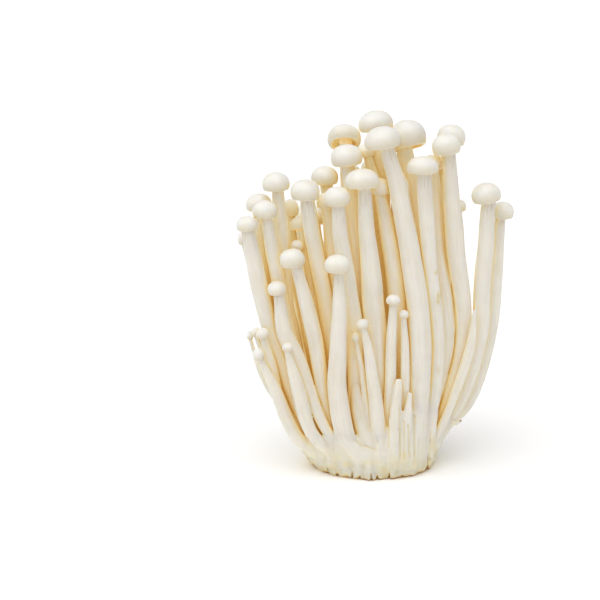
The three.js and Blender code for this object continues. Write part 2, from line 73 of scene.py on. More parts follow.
# cap: width, height of the dome, sideways offset on its neck. tip: degrees that it leans to +X and to +Y.
# depth: Y at the root and at the neck. stem: X, Z and width, from the root up to the neck.
# knob: Z, turn and height of a bump on the stem. fuller: swell of a stub's foot.
FRONT_MUSHROOMS = [
    dict(cap=(12.3, 6.5, 0), tip=(-8, 0), depth=(4, 9),
         stem=[(1, 5, 3.2), (4, 30, 5.5), (4.5, 60, 6.5), (0, 119, 6)]),
    dict(knob=(101.5, 0.2, 0.9), cap=(12.5, 6.8, -1.2), tip=(-8, 0), depth=(-12, -5),
         stem=[(14, 6, 3.6), (15.5, 30, 7), (15, 55, 7.5), (8, 96, 6), (3, 115, 5)]),
    dict(cap=(13, 9.6, 2), tip=(-14, 16), depth=(0, 4),
         stem=[(14, 5, 3.2), (18, 41, 6), (17.5, 60, 6), (13, 95, 6), (9.5, 113.4, 5.5)]),
    dict(cap=(12, 6.8, -0.5), tip=(0, 38), depth=(6, 8),
         stem=[(-4, 5, 3.2), (-4.5, 36, 5.5), (-8.5, 80, 5.5), (-10.5, 114, 4.5)]),
    dict(cap=(11, 5.4, -0.5), depth=(-8, -7),
         stem=[(18, 5.5, 3.2), (21, 43, 5), (17.5, 79, 5), (15.5, 106.4, 5)]),
    dict(cap=(11, 6.8, 0), tip=(-6, 0), depth=(-2, 2),
         stem=[(-3, 5, 3.2), (-2, 20, 5.2), (-4.5, 52, 5.5), (-10.5, 108.3, 4.5)]),
    dict(cap=(5.6, 4.3, -0.4), tip=(-8, 0), depth=(4, 6),
         stem=[(8, 5, 3.2), (8.5, 37, 5), (5.5, 78, 5), (-3.2, 110.3, 3)]),
    dict(cap=(12, 5.9, -0.6), tip=(-3, 0), depth=(-9, -8),
         stem=[(1.5, 6, 3.2), (0.5, 31, 6.5), (-1.5, 65, 7), (-3.5, 84, 5.5), (-4.6, 102, 4.5)]),
    dict(cap=(7.6, 5.2, 0), depth=(-4, -1),
         stem=[(10, 5, 3.2), (9.5, 35, 5.5), (7, 66, 6), (3.5, 86, 5), (0.5, 98.4, 4)]),
    dict(cap=(5, 3, 0), depth=(-15, -15),
         stem=[(4.5, 9, 2.6), (4, 22, 3), (5, 38, 3.5), (5.5, 62.3, 2.6)]),
    dict(cap=(3.7, 2.6, 0), depth=(-15, -13),
         stem=[(7, 9, 2.4), (8.5, 23, 2.6), (10, 31, 2.8), (9, 56.9, 2.2)]),
    dict(cap=(7.4, 4.6, 0), depth=(-4, 5),
         stem=[(18, 6, 3.2), (20, 17, 4.5), (25, 40, 5.5), (25.5, 53, 5.5), (21.5, 81.5, 4.6),
               (19.8, 106.2, 4)]),
    dict(cap=(10, 6.6, -0.8), tip=(-8, 0), depth=(-2, 0),
         stem=[(20, 5, 3.2), (25.5, 24, 4), (30.5, 51, 5), (27, 81.5, 6), (24.8, 112, 4.5)]),
    dict(cap=(10, 7, 0), tip=(4, 0), depth=(6, 8),
         stem=[(16, 5, 3.2), (20, 21.5, 4.5), (24.5, 62, 5), (22.8, 98, 4.5), (26, 113.7, 4.5)]),
    dict(cap=(5.5, 4, 0), depth=(10, 10),
         stem=[(16, 5, 3.2), (23.5, 20, 3.5), (27, 43, 3.5), (29.4, 90, 3)]),
    dict(cap=(10.3, 6.4, -0.5), tip=(-10, 0), depth=(-1, 1),
         stem=[(21, 6, 3.2), (30.5, 23.5, 4), (37, 47, 5.5), (37.5, 63.5, 5.5), (39, 95, 5)]),
    dict(cap=(8, 5.6, 0.5), tip=(4, 0), depth=(3, 7),
         stem=[(23.5, 6.5, 3.2), (29.2, 12.9, 4.2), (35.2, 20, 4.2), (41, 41, 3.8), (42.2, 58.5, 4.4),
               (44, 88.2, 3.5)]),
    dict(depth=(-6, -3),
         stem=[(19.5, 9, 2.2), (25.5, 21, 2.5), (32, 41, 3), (34.5, 57.5, 1.4)]),
    dict(cap=(4.3, 3, -0.2), tip=(-8, 0), depth=(-16, -17),
         stem=[(2.5, 8, 3.2), (1, 20, 4.5), (-2, 41, 3.5), (-4.8, 54.2, 2.2)]),
    dict(cap=(8.8, 5.6, -0.5), depth=(-15, -20),
         stem=[(-7, 8, 3.6), (-11.5, 15, 6), (-14, 35.5, 6), (-13, 60, 4.5), (-13.5, 74.3, 3.2)]),
    dict(cap=(9.2, 6, -0.2), tip=(-4, 0), depth=(-10, -11),
         stem=[(-3, 7, 3.2), (-6, 16, 5.2), (-8, 55, 5.5), (-13, 86, 5), (-13.6, 95.9, 4.5)]),
    dict(cap=(8.8, 5.8, -1), tip=(-8, 0), depth=(-12, -15),
         stem=[(-12, 7, 3.2), (-17.5, 21, 4), (-22, 52, 5), (-28, 75.3, 4)]),
    dict(cap=(6.4, 4.4, -0.5), tip=(-2, 0), depth=(-12, -16),
         stem=[(-15, 8, 3), (-21, 20, 3.5), (-28.5, 44, 5.5), (-32, 52, 5.2), (-34, 65.6, 3.6)]),
    dict(cap=(3.8, 2.6, 0), depth=(-13, -22),
         stem=[(-22, 8, 3.2), (-27.5, 16, 4), (-29, 31, 4.5), (-31.8, 46.8, 2.3)]),
    dict(cap=(4, 4, -0.2), tip=(-15, 0), depth=(-10, -20),
         stem=[(-25, 6.5, 3.2), (-30.6, 12.5, 4.2), (-33.6, 20.5, 4.4), (-36.2, 31, 3.8), (-41, 43, 2.2)]),
    dict(cap=(4.6, 3.2, 0), tip=(-10, 0), depth=(-5, -16),
         stem=[(-24, 8, 2.8), (-30, 18, 3), (-35.5, 39, 4), (-38.3, 50.2, 2.2)]),
    dict(cap=(7.5, 4.6, 0), tip=(-6, 0), depth=(-9, -13),
         stem=[(-21.5, 8, 3.2), (-29, 24, 4.5), (-35, 42.5, 5), (-41, 69, 5.5), (-44.5, 87.4, 4.5)]),
    dict(cap=(4.5, 4.2, -0.2), tip=(-8, 0), depth=(-3, -5),
         stem=[(-20, 7, 3), (-27.5, 20.5, 3.2), (-33.5, 35.5, 3.5), (-45.5, 81, 2.6)]),
    dict(cap=(8.8, 5.4, -0.5), depth=(-7, -9),
         stem=[(-14, 7, 3.2), (-22.5, 22, 4), (-32, 56.5, 4.5), (-38.2, 91.5, 4)]),
    dict(cap=(9.2, 5.6, -0.3), tip=(-4, 0), depth=(-1, -2),
         stem=[(-17, 6, 3.2), (-24, 20, 4.5), (-34, 49.5, 5), (-41, 80, 4.8), (-40, 92.2, 4)]),
    dict(cap=(9.6, 5.8, -0.5), tip=(-3, 0), depth=(-3, -3),
         stem=[(-14, 5.5, 3.2), (-21, 18.5, 4.5), (-31, 55, 5), (-32.4, 73, 5.2), (-34.5, 99.8, 4)]),
    dict(cap=(10.2, 6.6, -0.8), depth=(-4, -5),
         stem=[(-8, 5, 3.2), (-11, 17, 4.5), (-17, 58, 5), (-22, 86, 5), (-23.4, 97.2, 5)]),
    dict(cap=(5.6, 5.6, 0), depth=(6, 4),
         stem=[(-12, 5, 3.2), (-17.5, 17.5, 3.6), (-26.5, 59, 4), (-29.8, 89.6, 3)]),
    dict(cap=(6.4, 4.4, -0.5), tip=(0, 20), depth=(0, -1),
         stem=[(-11, 5, 3), (-14.5, 19.5, 3.5), (-21.5, 58, 3.5), (-26.5, 85.1, 3)]),
    dict(cap=(4.2, 3, 0), depth=(-3, -4),
         stem=[(-12, 5.5, 3), (-19, 24, 3.2), (-23.5, 46, 3.5), (-27.8, 79.2, 2.6)]),
    dict(cap=(9.5, 6, -0.5), depth=(3, 4),
         stem=[(-7.5, 5, 3.2), (-8.5, 22.5, 5), (-13, 59, 5), (-17.5, 100.7, 4.5)]),
    dict(cap=(6, 5, -0.4), depth=(0, -4),
         stem=[(-6, 5, 3.2), (-8, 23.5, 4), (-14, 60.5, 4.8), (-18.4, 93.2, 3.6)]),
    dict(cap=(5, 3.8, -0.2), depth=(2, 2),
         stem=[(-1, 5, 3), (-2, 22.5, 3.5), (-6, 65, 3.5), (-8.5, 84.7, 2.6)]),
]

# The smallest pins and stubs, which are one piece with the root mass
PINS = [
    dict(cap=(3, 3, -0.1), tip=(-6, 0), depth=(-14, -16),
         stem=[(-1.5, 9, 2.2), (-3, 25, 2.1), (-7, 49, 1.6)]),
    dict(cap=(3, 3, 0), depth=(-6, -14),
         stem=[(-22, 7, 2.4), (-35.5, 32, 2.1), (-42, 49.5, 1.6)]),
    dict(cap=(2.2, 3, 0), depth=(-5, -13),
         stem=[(-23, 9, 2), (-38.5, 30, 1.6), (-44, 48, 1.3)]),
    dict(fuller=0.95, depth=(-16, -16), stem=[(4.5, 10, 2.4), (6, 24, 2.4), (7, 36, 2.2)]),
    dict(fuller=0.75, depth=(-16, -17), stem=[(10.5, 9, 2.6), (11, 20, 2.4), (12, 31, 1.2)]),
]

# The hidden back, by rule
BACK_COUNT = 21
BACK_SEED = 7
BACK_TALLEST = 107
BACK_FALL = 0.024
BACK_MIDDLE = 6
BACK_ROOTS = (-17, 34)  # X of the first, and spread in X
BACK_NECKS = (-34, 58)
BACK_ROOT_Y = (6, 11, 16)  # of each of three rows
BACK_NECK_Y = (14, 23, 32)
BACK_LOWER = (0, 7, 20)
BACK_SHIFT = 3  # drawn shift of a neck in X and in Y
BACK_SHORTER = 8  # drawn loss of height
BACK_STEM = (4.4, 1.4)  # least width, and what is drawn on top of it
BACK_CAP = (7.5, 3.5)
BACK_DOME = 0.62

DRAW_FACTOR, DRAW_PRIME = 16807, 2147483647


def smooth(share):
    return share * share * (3 - 2 * share)


def clamp(value, low=0.0, high=1.0):
    return min(max(value, low), high)


def seeded_draw(seed):
    state = seed

    def draw():
        nonlocal state
        state = state * DRAW_FACTOR % DRAW_PRIME
        return state / DRAW_PRIME

    return draw


def row_at(row, z, column):
    """Value of a row of (x, z, width) points at a height, on a smooth curve through them."""
    i = 0
    while i < len(row) - 2 and z > row[i + 1][1]:
        i += 1

    def slope(k):
        before = row[max(k - 1, 0)]
        after = row[min(k + 1, len(row) - 1)]
        return (after[column] - before[column]) / (after[1] - before[1])

    span = row[i + 1][1] - row[i][1]
    t = clamp((z - row[i][1]) / span)
    rise = smooth(t)
    leave = t * (1 - t) * (1 - t) * span * slope(i)
    arrive = t * t * (1 - t) * span * slope(i + 1)
    return row[i][column] * (1 - rise) + row[i + 1][column] * rise + leave - arrive


def back_mushrooms():
    draw = seeded_draw(BACK_SEED)
    specs = []
    for i in range(BACK_COUNT):
        across = (i + 0.5) / BACK_COUNT
        row = i % len(BACK_LOWER)
        root_x = BACK_ROOTS[0] + BACK_ROOTS[1] * across
        neck_x = BACK_NECKS[0] + BACK_NECKS[1] * across + BACK_SHIFT * (draw() - 0.5)
        neck_y = BACK_NECK_Y[row] + BACK_SHIFT * (draw() - 0.5)
        fall = BACK_FALL * (neck_x - BACK_MIDDLE) ** 2
        neck_z = BACK_TALLEST - fall - BACK_LOWER[row] - BACK_SHORTER * draw()
        width = BACK_STEM[0] + BACK_STEM[1] * draw()
        cap_width = BACK_CAP[0] + BACK_CAP[1] * draw()
        specs.append(dict(
            cap=(cap_width, BACK_DOME * cap_width, 0),
            tip=(0.3 * (neck_x - BACK_MIDDLE), 4 + 5 * row),
            depth=(BACK_ROOT_Y[row], neck_y),
            stem=[
                (root_x, 5, 3),
                (root_x + 0.3 * (neck_x - root_x), 0.3 * neck_z, width),
                (root_x + 0.7 * (neck_x - root_x), 0.65 * neck_z, width),
                (neck_x, neck_z, 0.85 * width),
            ],
        ))
    return specs


def lay_out(specs):
    """Mushrooms as columns of levels: at each level the middle in X and Y and the half width."""
    columns = {key: np.zeros((len(specs), LEVELS)) for key in ("x", "y", "offset", "reach", "there")}
    for m, spec in enumerate(specs):
        stem, cap = spec["stem"], spec.get("cap")
        root, neck = stem[0][1], stem[-1][1]
        top = neck + (cap[1] if cap else 0)
        for k in range(LEVELS):
            z = k * LEVEL_STEP
            if z < root - LEVEL_STEP or z > top + LEVEL_STEP:
                continue
            in_stem = clamp(z, root, neck)
            share = smooth((in_stem - root) / (neck - root))
            lean = (row_at(stem, min(in_stem + 1, neck), 0) - row_at(stem, max(in_stem - 1, root), 0)) / 2
            columns["there"][m, k] = 1
            columns["x"][m, k] = row_at(stem, in_stem, 0)
            columns["y"][m, k] = spec["depth"][0] + (spec["depth"][1] - spec["depth"][0]) * share
            if cap and z > neck - LEVEL_STEP / 2:
                columns["offset"][m, k] = cap[2]
                columns["reach"][m, k] = cap[0] / 2 * math.sqrt(1 - clamp((z - neck) / cap[1]) ** 2)
            else:
                widening = math.hypot(1, min(abs(lean), 1) * LEAN_SHARE)
                columns["reach"][m, k] = row_at(stem, in_stem, 2) / 2 * widening
    return columns


def base_half_widths(z):
    i = 0
    while i < len(BASE_RINGS) - 2 and z > BASE_RINGS[i + 1][0]:
        i += 1
    low, high = BASE_RINGS[i], BASE_RINGS[i + 1]
    t = clamp((z - low[0]) / (high[0] - low[0]))
    return [low[column] * (1 - t) + high[column] * t for column in (1, 2, 3)]


def neighbour_mean(values, there):
    """Mean of the levels below and above, where a missing level counts as the level itself."""
    below, above = values.copy(), values.copy()
    below[:, 1:] = np.where(there[:, :-1], values[:, :-1], values[:, 1:])
    above[:, :-1] = np.where(there[:, 1:], values[:, 1:], values[:, :-1])
    return (below + above) / 2


def stay_in_base(columns, there):
    for k in range(ROOT_REACH // LEVEL_STEP + 1):
        half_x, half_y, middle = base_half_widths(max(k * LEVEL_STEP, ROOT_OUTLINE))
        reach = columns["reach"][:, k] + ROOT_WALL
        off_x, off_y = columns["x"][:, k] - middle, columns["y"][:, k]
        over = np.hypot(off_x / (half_x - reach), off_y / (half_y - reach))
        over = np.where(there[:, k] & (over > 1), over, 1)
        columns["x"][:, k] = np.where(over > 1, middle + off_x / over, columns["x"][:, k])
        columns["y"][:, k] = off_y / over


def spread_apart(columns):
    """Bends the mushrooms apart at every level, mainly in depth, until each pair is clear."""
    x, y, reach, there = columns["x"], columns["y"], columns["reach"], columns["there"] > 0
    straight_x = x.copy()
    first, second = np.triu_indices(len(x), 1)
    both = there[first] & there[second]
    joined = np.zeros((len(x), len(first)))
    joined[second, np.arange(len(first))] = 1
    joined[first, np.arange(len(first))] = -1
    for step in range(PASSES):
        placed = x + columns["offset"]
        dx, dy = placed[second] - placed[first], y[second] - y[first]
        apart = np.maximum(np.hypot(dx, dy), LEAST)
        lack = np.where(both, reach[first] + reach[second] + KEPT_APART - apart, 0)
        touching = lack > 0
        nx, ny = dx / apart, dy / apart
        share = lack / (2 * (SIDE_WEIGHT * nx * nx + ny * ny) + LEAST)
        move_x = np.sign(nx) * np.minimum(share * SIDE_WEIGHT * abs(nx), 1) * touching
        move_y = np.where(ny < 0, -1, 1) * np.minimum(share * abs(ny) + LEAST, 1) * touching
        damp = np.sqrt(np.maximum(abs(joined) @ touching, 1))
        x += joined @ move_x / damp
        y += joined @ move_y / damp
        if step < PASSES - 1:
            bend = x - straight_x
            x += np.where(there, SMOOTHING * (neighbour_mean(bend, there) - bend), 0)
            y += np.where(there, SMOOTHING * (neighbour_mean(y, there) - y), 0)
        stay_in_base(columns, there)
    columns["bend"] = x - straight_x


# ---- Where each stem and cap goes ----

STEM_FULLNESS = 0.25  # round stems fill the gaps that are kept between the solids
SLIM_NECK = 12  # below the neck, where this fullness begins
STUB_FLARE = 0.7
STRAY = 0.5  # how far a stem wavers from its even line
STRAY_LENGTH = 14
STRAY_APART = 31.7  # between the patterns for its wavering in X and in Y
STRAY_ABOVE_ROOT = (8, 12)  # where it begins, and over what height it grows
STRAY_BELOW_NECK = 10
CORNER_REACH = 2.0
CORNER_WEIGHTS = ((-1, 1), (-0.5, 2), (0, 2), (0.5, 2), (1, 1))
SEED_STEP = (17.3, 4.1)


def square_to(up):
    """The sideways and backward directions square to a line that runs up."""
    side = Vector((0, 1, 0)).cross(up).normalized()
    return side, up.cross(side)


class Mushroom:
    """One mushroom's place: its stem's middle line and half width by height, and its cap."""

    def __init__(self, spec, columns, row):
        self.stem, self.cap, self.tip = spec["stem"], spec.get("cap"), spec.get("tip", (0, 0))
        self.root, self.neck = self.stem[0][1], self.stem[-1][1]
        self.bend, self.depth = columns["bend"][row], columns["y"][row]
        self.there = columns["there"][row] > 0
        self.number = row
        self.fuller = spec.get("fuller", 0)
        self.knob = spec.get("knob")

    def middle(self, z):
        low = min(int(z // LEVEL_STEP), LEVELS - 2)
        t = z / LEVEL_STEP - low
        high = low + 1
        if not self.there[low]:
            low = high
        if not self.there[high]:
            high = low
        x = row_at(self.stem, z, 0) + self.bend[low] * (1 - t) + self.bend[high] * t
        return Vector((x, self.depth[low] * (1 - t) + self.depth[high] * t, z))

    def soft_middle(self, z):
        """The middle line with its corners between levels rounded off, wavering a little."""
        heights = [clamp(z + CORNER_REACH * step, self.root, self.neck) for step, _ in CORNER_WEIGHTS]
        weights = [weight for _, weight in CORNER_WEIGHTS]
        total = sum((self.middle(height) * weight for height, weight in zip(heights, weights)), Vector())
        mean = total / sum(weights)
        slope = (self.middle(heights[-1]) - self.middle(heights[0])) / max(heights[-1] - heights[0], 0.1)
        place = Vector((0, 0, z / STRAY_LENGTH)) + self.seed()
        stray_x, stray_y = noise.noise(place), noise.noise(place + Vector((0, STRAY_APART, 0)))
        begins, grows = STRAY_ABOVE_ROOT
        free = STRAY * clamp((z - self.root - begins) / grows) * clamp((self.neck - z) / STRAY_BELOW_NECK)
        return mean + slope * (z - mean.z) + Vector((stray_x, stray_y, 0)) * free

    def half(self, z):
        full = STEM_FULLNESS * clamp((self.neck - z) / SLIM_NECK)
        full += self.fuller * (1 - clamp((z - self.root) / (self.neck - self.root))) ** STUB_FLARE
        return row_at(self.stem, z, 2) / 2 + full

    def seed(self):
        return Vector((SEED_STEP[0] * self.number, SEED_STEP[1] * self.number, 0))

    def stem_frame(self, z):
        lower = self.soft_middle(max(z - CORNER_REACH, self.root))
        upper = self.soft_middle(min(z + CORNER_REACH, self.neck))
        along = (upper - lower).normalized()
        return (self.soft_middle(z), *square_to(along), along)

    def cap_frame(self):
        lean_x, lean_y = (math.radians(angle) for angle in self.tip)
        up = Vector((math.sin(lean_x), math.sin(lean_y), math.cos(lean_x) * math.cos(lean_y))).normalized()
        return (self.soft_middle(self.neck) + Vector((self.cap[2], 0, 0)), *square_to(up), up)


# ---- Modelling tools ----

SAME_PLACE = 0.0004


def new_object(name, data):
    thing = bpy.data.objects.new(name, data)
    bpy.context.scene.collection.objects.link(thing)
    return thing


def to_object(name, bm, materials, slot):
    """A mesh in millimetres becomes a finished piece in metres."""
    bmesh.ops.transform(bm, matrix=Matrix.Scale(MM, 4), verts=bm.verts)
    for face in bm.faces:
        face.smooth = True
    mesh = bpy.data.meshes.new(name)
    bm.to_mesh(mesh)
    bm.free()
    for material in materials:
        mesh.materials.append(material)
    piece = new_object(name, mesh)
    if slot:
        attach(piece, "root")
    return piece


def spin_row(bm, row, sides):
    """Spins a row of vertices round the Z axis into a closed skin."""
    edges = [bm.edges.new(pair) for pair in zip(row, row[1:])]
    bmesh.ops.spin(bm, geom=row + edges, cent=(0, 0, 0), axis=(0, 0, 1), angle=FULL_TURN, steps=sides,
                   use_merge=True)
    bmesh.ops.remove_doubles(bm, verts=bm.verts, dist=SAME_PLACE)
    bmesh.ops.recalc_face_normals(bm, faces=bm.faces)


# ---- One mushroom ----

STEM_RING_STEP = 2.2
WIDE_CAP = 7
WIDE_SIDES, NARROW_SIDES = 40, 28
CAP_SKIN, GILLS = 1, 2  # slots of their materials, after the stem's

# The underside: how far out between neck and lip, and height as a share of the dome's
GILL_SECTION = [(0.1, 0.19), (0.35, 0.15), (0.6, 0.1), (0.85, 0.04)]
# The rolled margin of a flat cap and of a round one, in shares of its half width and of its dome's height
FLAT_MARGIN = [(0.8, -0.035), (0.86, -0.05), (0.92, -0.035), (0.965, 0.015), (0.99, 0.09), (1.0, 0.2)]
ROUND_MARGIN = [(0.7, -0.02), (0.77, -0.045), (0.85, -0.02), (0.92, 0.06), (0.975, 0.18), (1.0, 0.36)]
FLAT_CAP = 0.5  # height of a flat cap as a share of its width
ROUND_CAP = 0.66
DOME_STEPS = 11
DOME_FULLNESS = 0.9
GILL_DEPTH = 0.08
CAP_WAVE = 0.035  # of a cap's outline and of its height
CAP_DIMPLES = (0.012, 0.03)  # of its width and of its height
DIMPLE_SIZE = 0.22
STEM_FIBRES = (0.035, 2.2, 0.02)  # depth, and scale of the pattern round the stem and along it
STEM_SWELLS = (0.07, 0.7, 0.06)
SWELL_SEED = 1.7
KNOB_REACH = 2.2


def cap_section(width, height):
    """From the lip over the rolled margin to just short of the crown, in shares of half width and height."""
    share = clamp((height / width - FLAT_CAP) / (ROUND_CAP - FLAT_CAP))
    points = [(flat[0] * (1 - share) + full[0] * share, flat[1] * (1 - share) + full[1] * share)
              for flat, full in zip(FLAT_MARGIN, ROUND_MARGIN)]
    widest_at = points[-1][1]
    for step in range(1, DOME_STEPS):
        turn = 0.5 * math.pi * step / DOME_STEPS
        points.append((math.cos(turn) ** DOME_FULLNESS, widest_at + (1 - widest_at) * math.sin(turn)))
    return points


def spin_section(bm, mushroom, sides):
    """Spins the whole mushroom's section into one skin, straight up, with its cap round the same axis."""
    on_cap = bm.verts.layers.float.new("on_cap")  # 0 on the stem, and how far out towards the lip on the cap
    count = max(4, round((mushroom.neck - mushroom.root) / STEM_RING_STEP))
    heights = [mushroom.root + (mushroom.neck - mushroom.root) * i / count for i in range(count + 1)]
    section = [(0, mushroom.root, 0)]
    section += [(mushroom.half(z), z, 0) for z in heights]
    neck_half = mushroom.half(mushroom.neck)
    if mushroom.cap:
        half, height = mushroom.cap[0] / 2, mushroom.cap[1]
        skin = cap_section(2 * half, height)
        lip = skin[0][0] * half
        section += [(neck_half + share * (lip - neck_half), rise * height, share)
                    for share, rise in GILL_SECTION]
        section += [(share * half, rise * height, 1) for share, rise in skin]
        section.append((0, height, 1))
    else:
        section += [(0.7 * neck_half, mushroom.neck + 0.001, 0), (0, mushroom.neck + 0.002, 0)]
    row = []
    for radius, height, share in section:
        vert = bm.verts.new((radius, 0, height))
        vert[on_cap] = share
        row.append(vert)
    spin_row(bm, row, sides)
    return on_cap


def round_noise(turn, z, pattern, seed):
    """A pattern that closes round a stem, from its depth and its scales round the stem and along it."""
    depth, around, along = pattern
    return depth * noise.noise(Vector((around * math.cos(turn), around * math.sin(turn), along * z)) + seed)


def bend_into_place(bm, mushroom, on_cap, sides):
    """Carries each point of the straight mushroom to its stem's bent line or its cap's tilted frame."""
    grain = bm.verts.layers.float_vector.new("grain")
    rise = bm.verts.layers.float.new("rise")
    seed = mushroom.seed()
    frames = {}
    cap_frame = mushroom.cap_frame() if mushroom.cap else None
    for vert in bm.verts:
        x, y, z = vert.co
        radius = math.hypot(x, y)
        turn = math.atan2(y, x)
        round_place = Vector((math.cos(turn), math.sin(turn), 0))
        if vert[on_cap] > 0:
            width, height, shift = mushroom.cap
            share = radius / (width / 2)
            vert[grain] = round_place * radius + Vector((0, 0, mushroom.neck + z)) + seed
            vert[rise] = 1 + z / height
            if vert[on_cap] < 1:
                z -= GILL_DEPTH * height * math.cos(turn * sides / 2) * math.sin(math.pi * vert[on_cap])
            wave = CAP_WAVE * noise.noise(round_place * 1.1 + seed)
            dimple = noise.noise(Vector((x, y, z)) * DIMPLE_SIZE + seed)
            radius *= 1 + wave * clamp(share * 1.5) + CAP_DIMPLES[0] * dimple
            z += height * (wave * clamp(1 - z / height) + CAP_DIMPLES[1] * dimple * clamp(z / height))
            middle, side, back, up = cap_frame
            middle = middle - Vector((shift * (1 - vert[on_cap]), 0, 0))
        else:
            vert[grain] = round_place * radius + Vector((0, 0, z)) + seed
            vert[rise] = (z - mushroom.root) / (mushroom.neck - mushroom.root)
            if z not in frames:
                frames[z] = mushroom.stem_frame(min(z, mushroom.neck))
            middle, side, back, up = frames[z]
            fibres = round_noise(turn, z, STEM_FIBRES, seed)
            radius *= 1 + fibres + round_noise(turn, z, STEM_SWELLS, seed * SWELL_SEED)
            if mushroom.knob:
                knob_z, knob_turn, size = mushroom.knob
                facing = max(math.cos(turn - knob_turn), 0) ** 2
                radius += size * facing * math.exp(-((z - knob_z) / KNOB_REACH) ** 2)
            z = 0
        vert.co = middle + side * (radius * math.cos(turn)) + back * (radius * math.sin(turn)) + up * z


def grow_mushroom(name, mushroom, materials):
    bm = bmesh.new()
    sides = WIDE_SIDES if mushroom.cap and mushroom.cap[0] > WIDE_CAP else NARROW_SIDES
    on_cap = spin_section(bm, mushroom, sides)
    for face in bm.faces:
        shares = [vert[on_cap] for vert in face.verts]
        if max(shares) > 0:
            face.material_index = CAP_SKIN if min(shares) == 1 else GILLS
    bend_into_place(bm, mushroom, on_cap, sides)
    return to_object(name, bm, materials, "mushroom_flesh")


# ---- The cut root mass ----

BASE_SIDES = 96
CORE_SHARE = 0.94  # of the root mass's outline, with the feet and ridges standing out of it
CORE_LIFT = 0.05
VOXEL = 0.42
ROUNDING = (0.5, 9)  # strength and passes
FACES_KEPT = 0.5  # of the root mass's faces, once it is finished
TUBE_SIDES = 14
FOOT_TOP = 34  # feet of the stems end this high, inside their stems
FOOT_FULLNESS = 1.12  # half width of a foot, against that of its full stem
FOOT_INSET = 0.16  # of a foot's top, inside the stem's skin
FOOT_BOTTOM = 1.2
FOOT_STEPS = 10
STUB_SINKS = (0.4, 3)  # share of a stub that leans back into the mass, and how far
STUB_EXTRA = 0.1
RIDGE_COUNT = 46  # small fused stems round the rim
RIDGE_SEED = 11
RIDGE_STEPS = 5
RIDGE_BOTTOM = 0.4
RIDGE_HALF = (0.9, 1.1)  # least, and what is drawn on top of it
RIDGE_HEIGHT = (6, 8)

# Cracks in the front of the rim: X, half width, height, depth
CRACKS = [
    (-13.6, 0.5, 1.4, 0.7), (-8.4, 0.5, 3.0, 1.3), (-5.8, 0.4, 2.0, 1.0), (-1.6, 0.5, 3.4, 1.4),
    (0.3, 0.4, 2.2, 1.0), (4.4, 0.5, 3.0, 1.3), (9.2, 0.4, 1.4, 0.7), (18.6, 0.5, 8.0, 0.9),
]
BACK_CRACK_DEPTH = 1.1
# Creases between the grown-together feet on the front, dented in and painted yellow as painted shade: X and Z
# along each
CREASES = [
    [(-10.1, 25.7), (-9.2, 17.7), (-7.4, 14.6), (-4.9, 12.6), (-0.5, 10.8)],
    [(-16.2, 25.4), (-15.6, 17), (-14.8, 10.5)],
    [(-23, 29), (-20.5, 21), (-18.9, 15), (-16.6, 11.6)],
    [(-1.6, 25), (-1.2, 18), (0.4, 13.6)],
    [(3.2, 24), (4, 17.8), (4, 12)],
    [(7.8, 26), (8.1, 18.2), (8.3, 8.6)],
    [(9.4, 21), (9.6, 14), (9.8, 8)],
    [(11, 20), (11.4, 13), (11.6, 8.4)],
    [(13.2, 22), (13.4, 14), (13.4, 8.2)],
    [(19.2, 15), (19.1, 9), (19.2, 3)],
]
CREASE_HALF = 0.55
CREASE_DEPTH = 0.45
CREASES_TO = (-6, 27)  # greatest Y and Z of the creased front
# Brown marks and yellow patches on the front: X, Z, reach in X, reach in Z, strength
MARKS = [
    (7.5, 18.1, 0.4, 0.4, 0.35), (10.6, 19.2, 0.5, 0.3, 0.45), (19.2, 11.6, 0.35, 0.9, 0.2),
    (19.3, 4.8, 0.45, 0.7, 0.3), (31.2, 16.3, 0.9, 0.8, 0.7),
]
PATCHES = [
    (-10.4, 5.4, 1.6, 1.0, 0.8), (9.4, 8.4, 1.2, 1.8, 0.9), (13.6, 6.0, 0.8, 2.6, 0.7),
    (-1.2, 6.6, 3.4, 1.0, 0.6), (20.5, 10, 1.2, 3.0, 0.7), (3.0, 4.0, 1.0, 1.6, 0.5),
]

# Growths of the root mass up the front: X, Y, Z and half width along each
GROWTHS = [
    [(-12.8, -16.6, 21, 2.3), (-11, -17.3, 16, 2.9), (-7.6, -17.5, 11.4, 3.1), (-3, -17.5, 8, 3.0),
     (1.5, -17.2, 5.4, 2.2)],
    [(-7.4, -10, 37, 1.4), (-6.8, -11.6, 31, 2.3), (-6.4, -12.6, 23, 2.5), (-4.8, -13.8, 17, 2.9),
     (-2, -15, 11.5, 3.2), (1, -15.5, 7, 3)],
    [(1.6, -9, 30, 0.8), (2.6, -13.6, 22, 1.9), (2.8, -15.8, 15, 2.4), (3.5, -16.4, 9, 2.8)],
    [(7.6, -9, 33, 0.8), (7.2, -14.4, 24, 1.7), (6.8, -16.4, 16, 2.1), (6.2, -17.7, 10, 2.2), (6, -18, 5, 2)],
    [(11.8, -9, 31, 0.8), (11.6, -13.6, 22, 1.7), (11.2, -15.1, 14, 2.2), (11, -15.6, 7, 2.2)],
    [(28.6, -1.4, 14.6, 1.0), (31.2, -1.8, 16.3, 0.5)],
]
# A row of thin stems grown together, up the front: first X, step in X, count, half width
STRANDS = (4.8, 1.5, 7, 0.8)
STRAND_TOP = 19.5
STRAND_BOTTOM = 0.6
STRANDS_BEND = (0.045, 7)  # the row bends back with the outline, away from this X


def base_outline(turn, z):
    crevices = 0.02 * math.cos(19 * turn) + 0.012 * math.cos(31 * turn + 1)
    lumps = 0.03 * math.cos(9 * turn + 0.6)
    away = math.atan2(math.sin(turn - LOBE_TURN), math.cos(turn - LOBE_TURN))
    lobe = LOBE_SWELL * math.exp(-((away / LOBE_SPREAD) ** 2)) * smooth(clamp(z / 6))
    return 1 + (crevices if z < 5 else lumps) + lobe


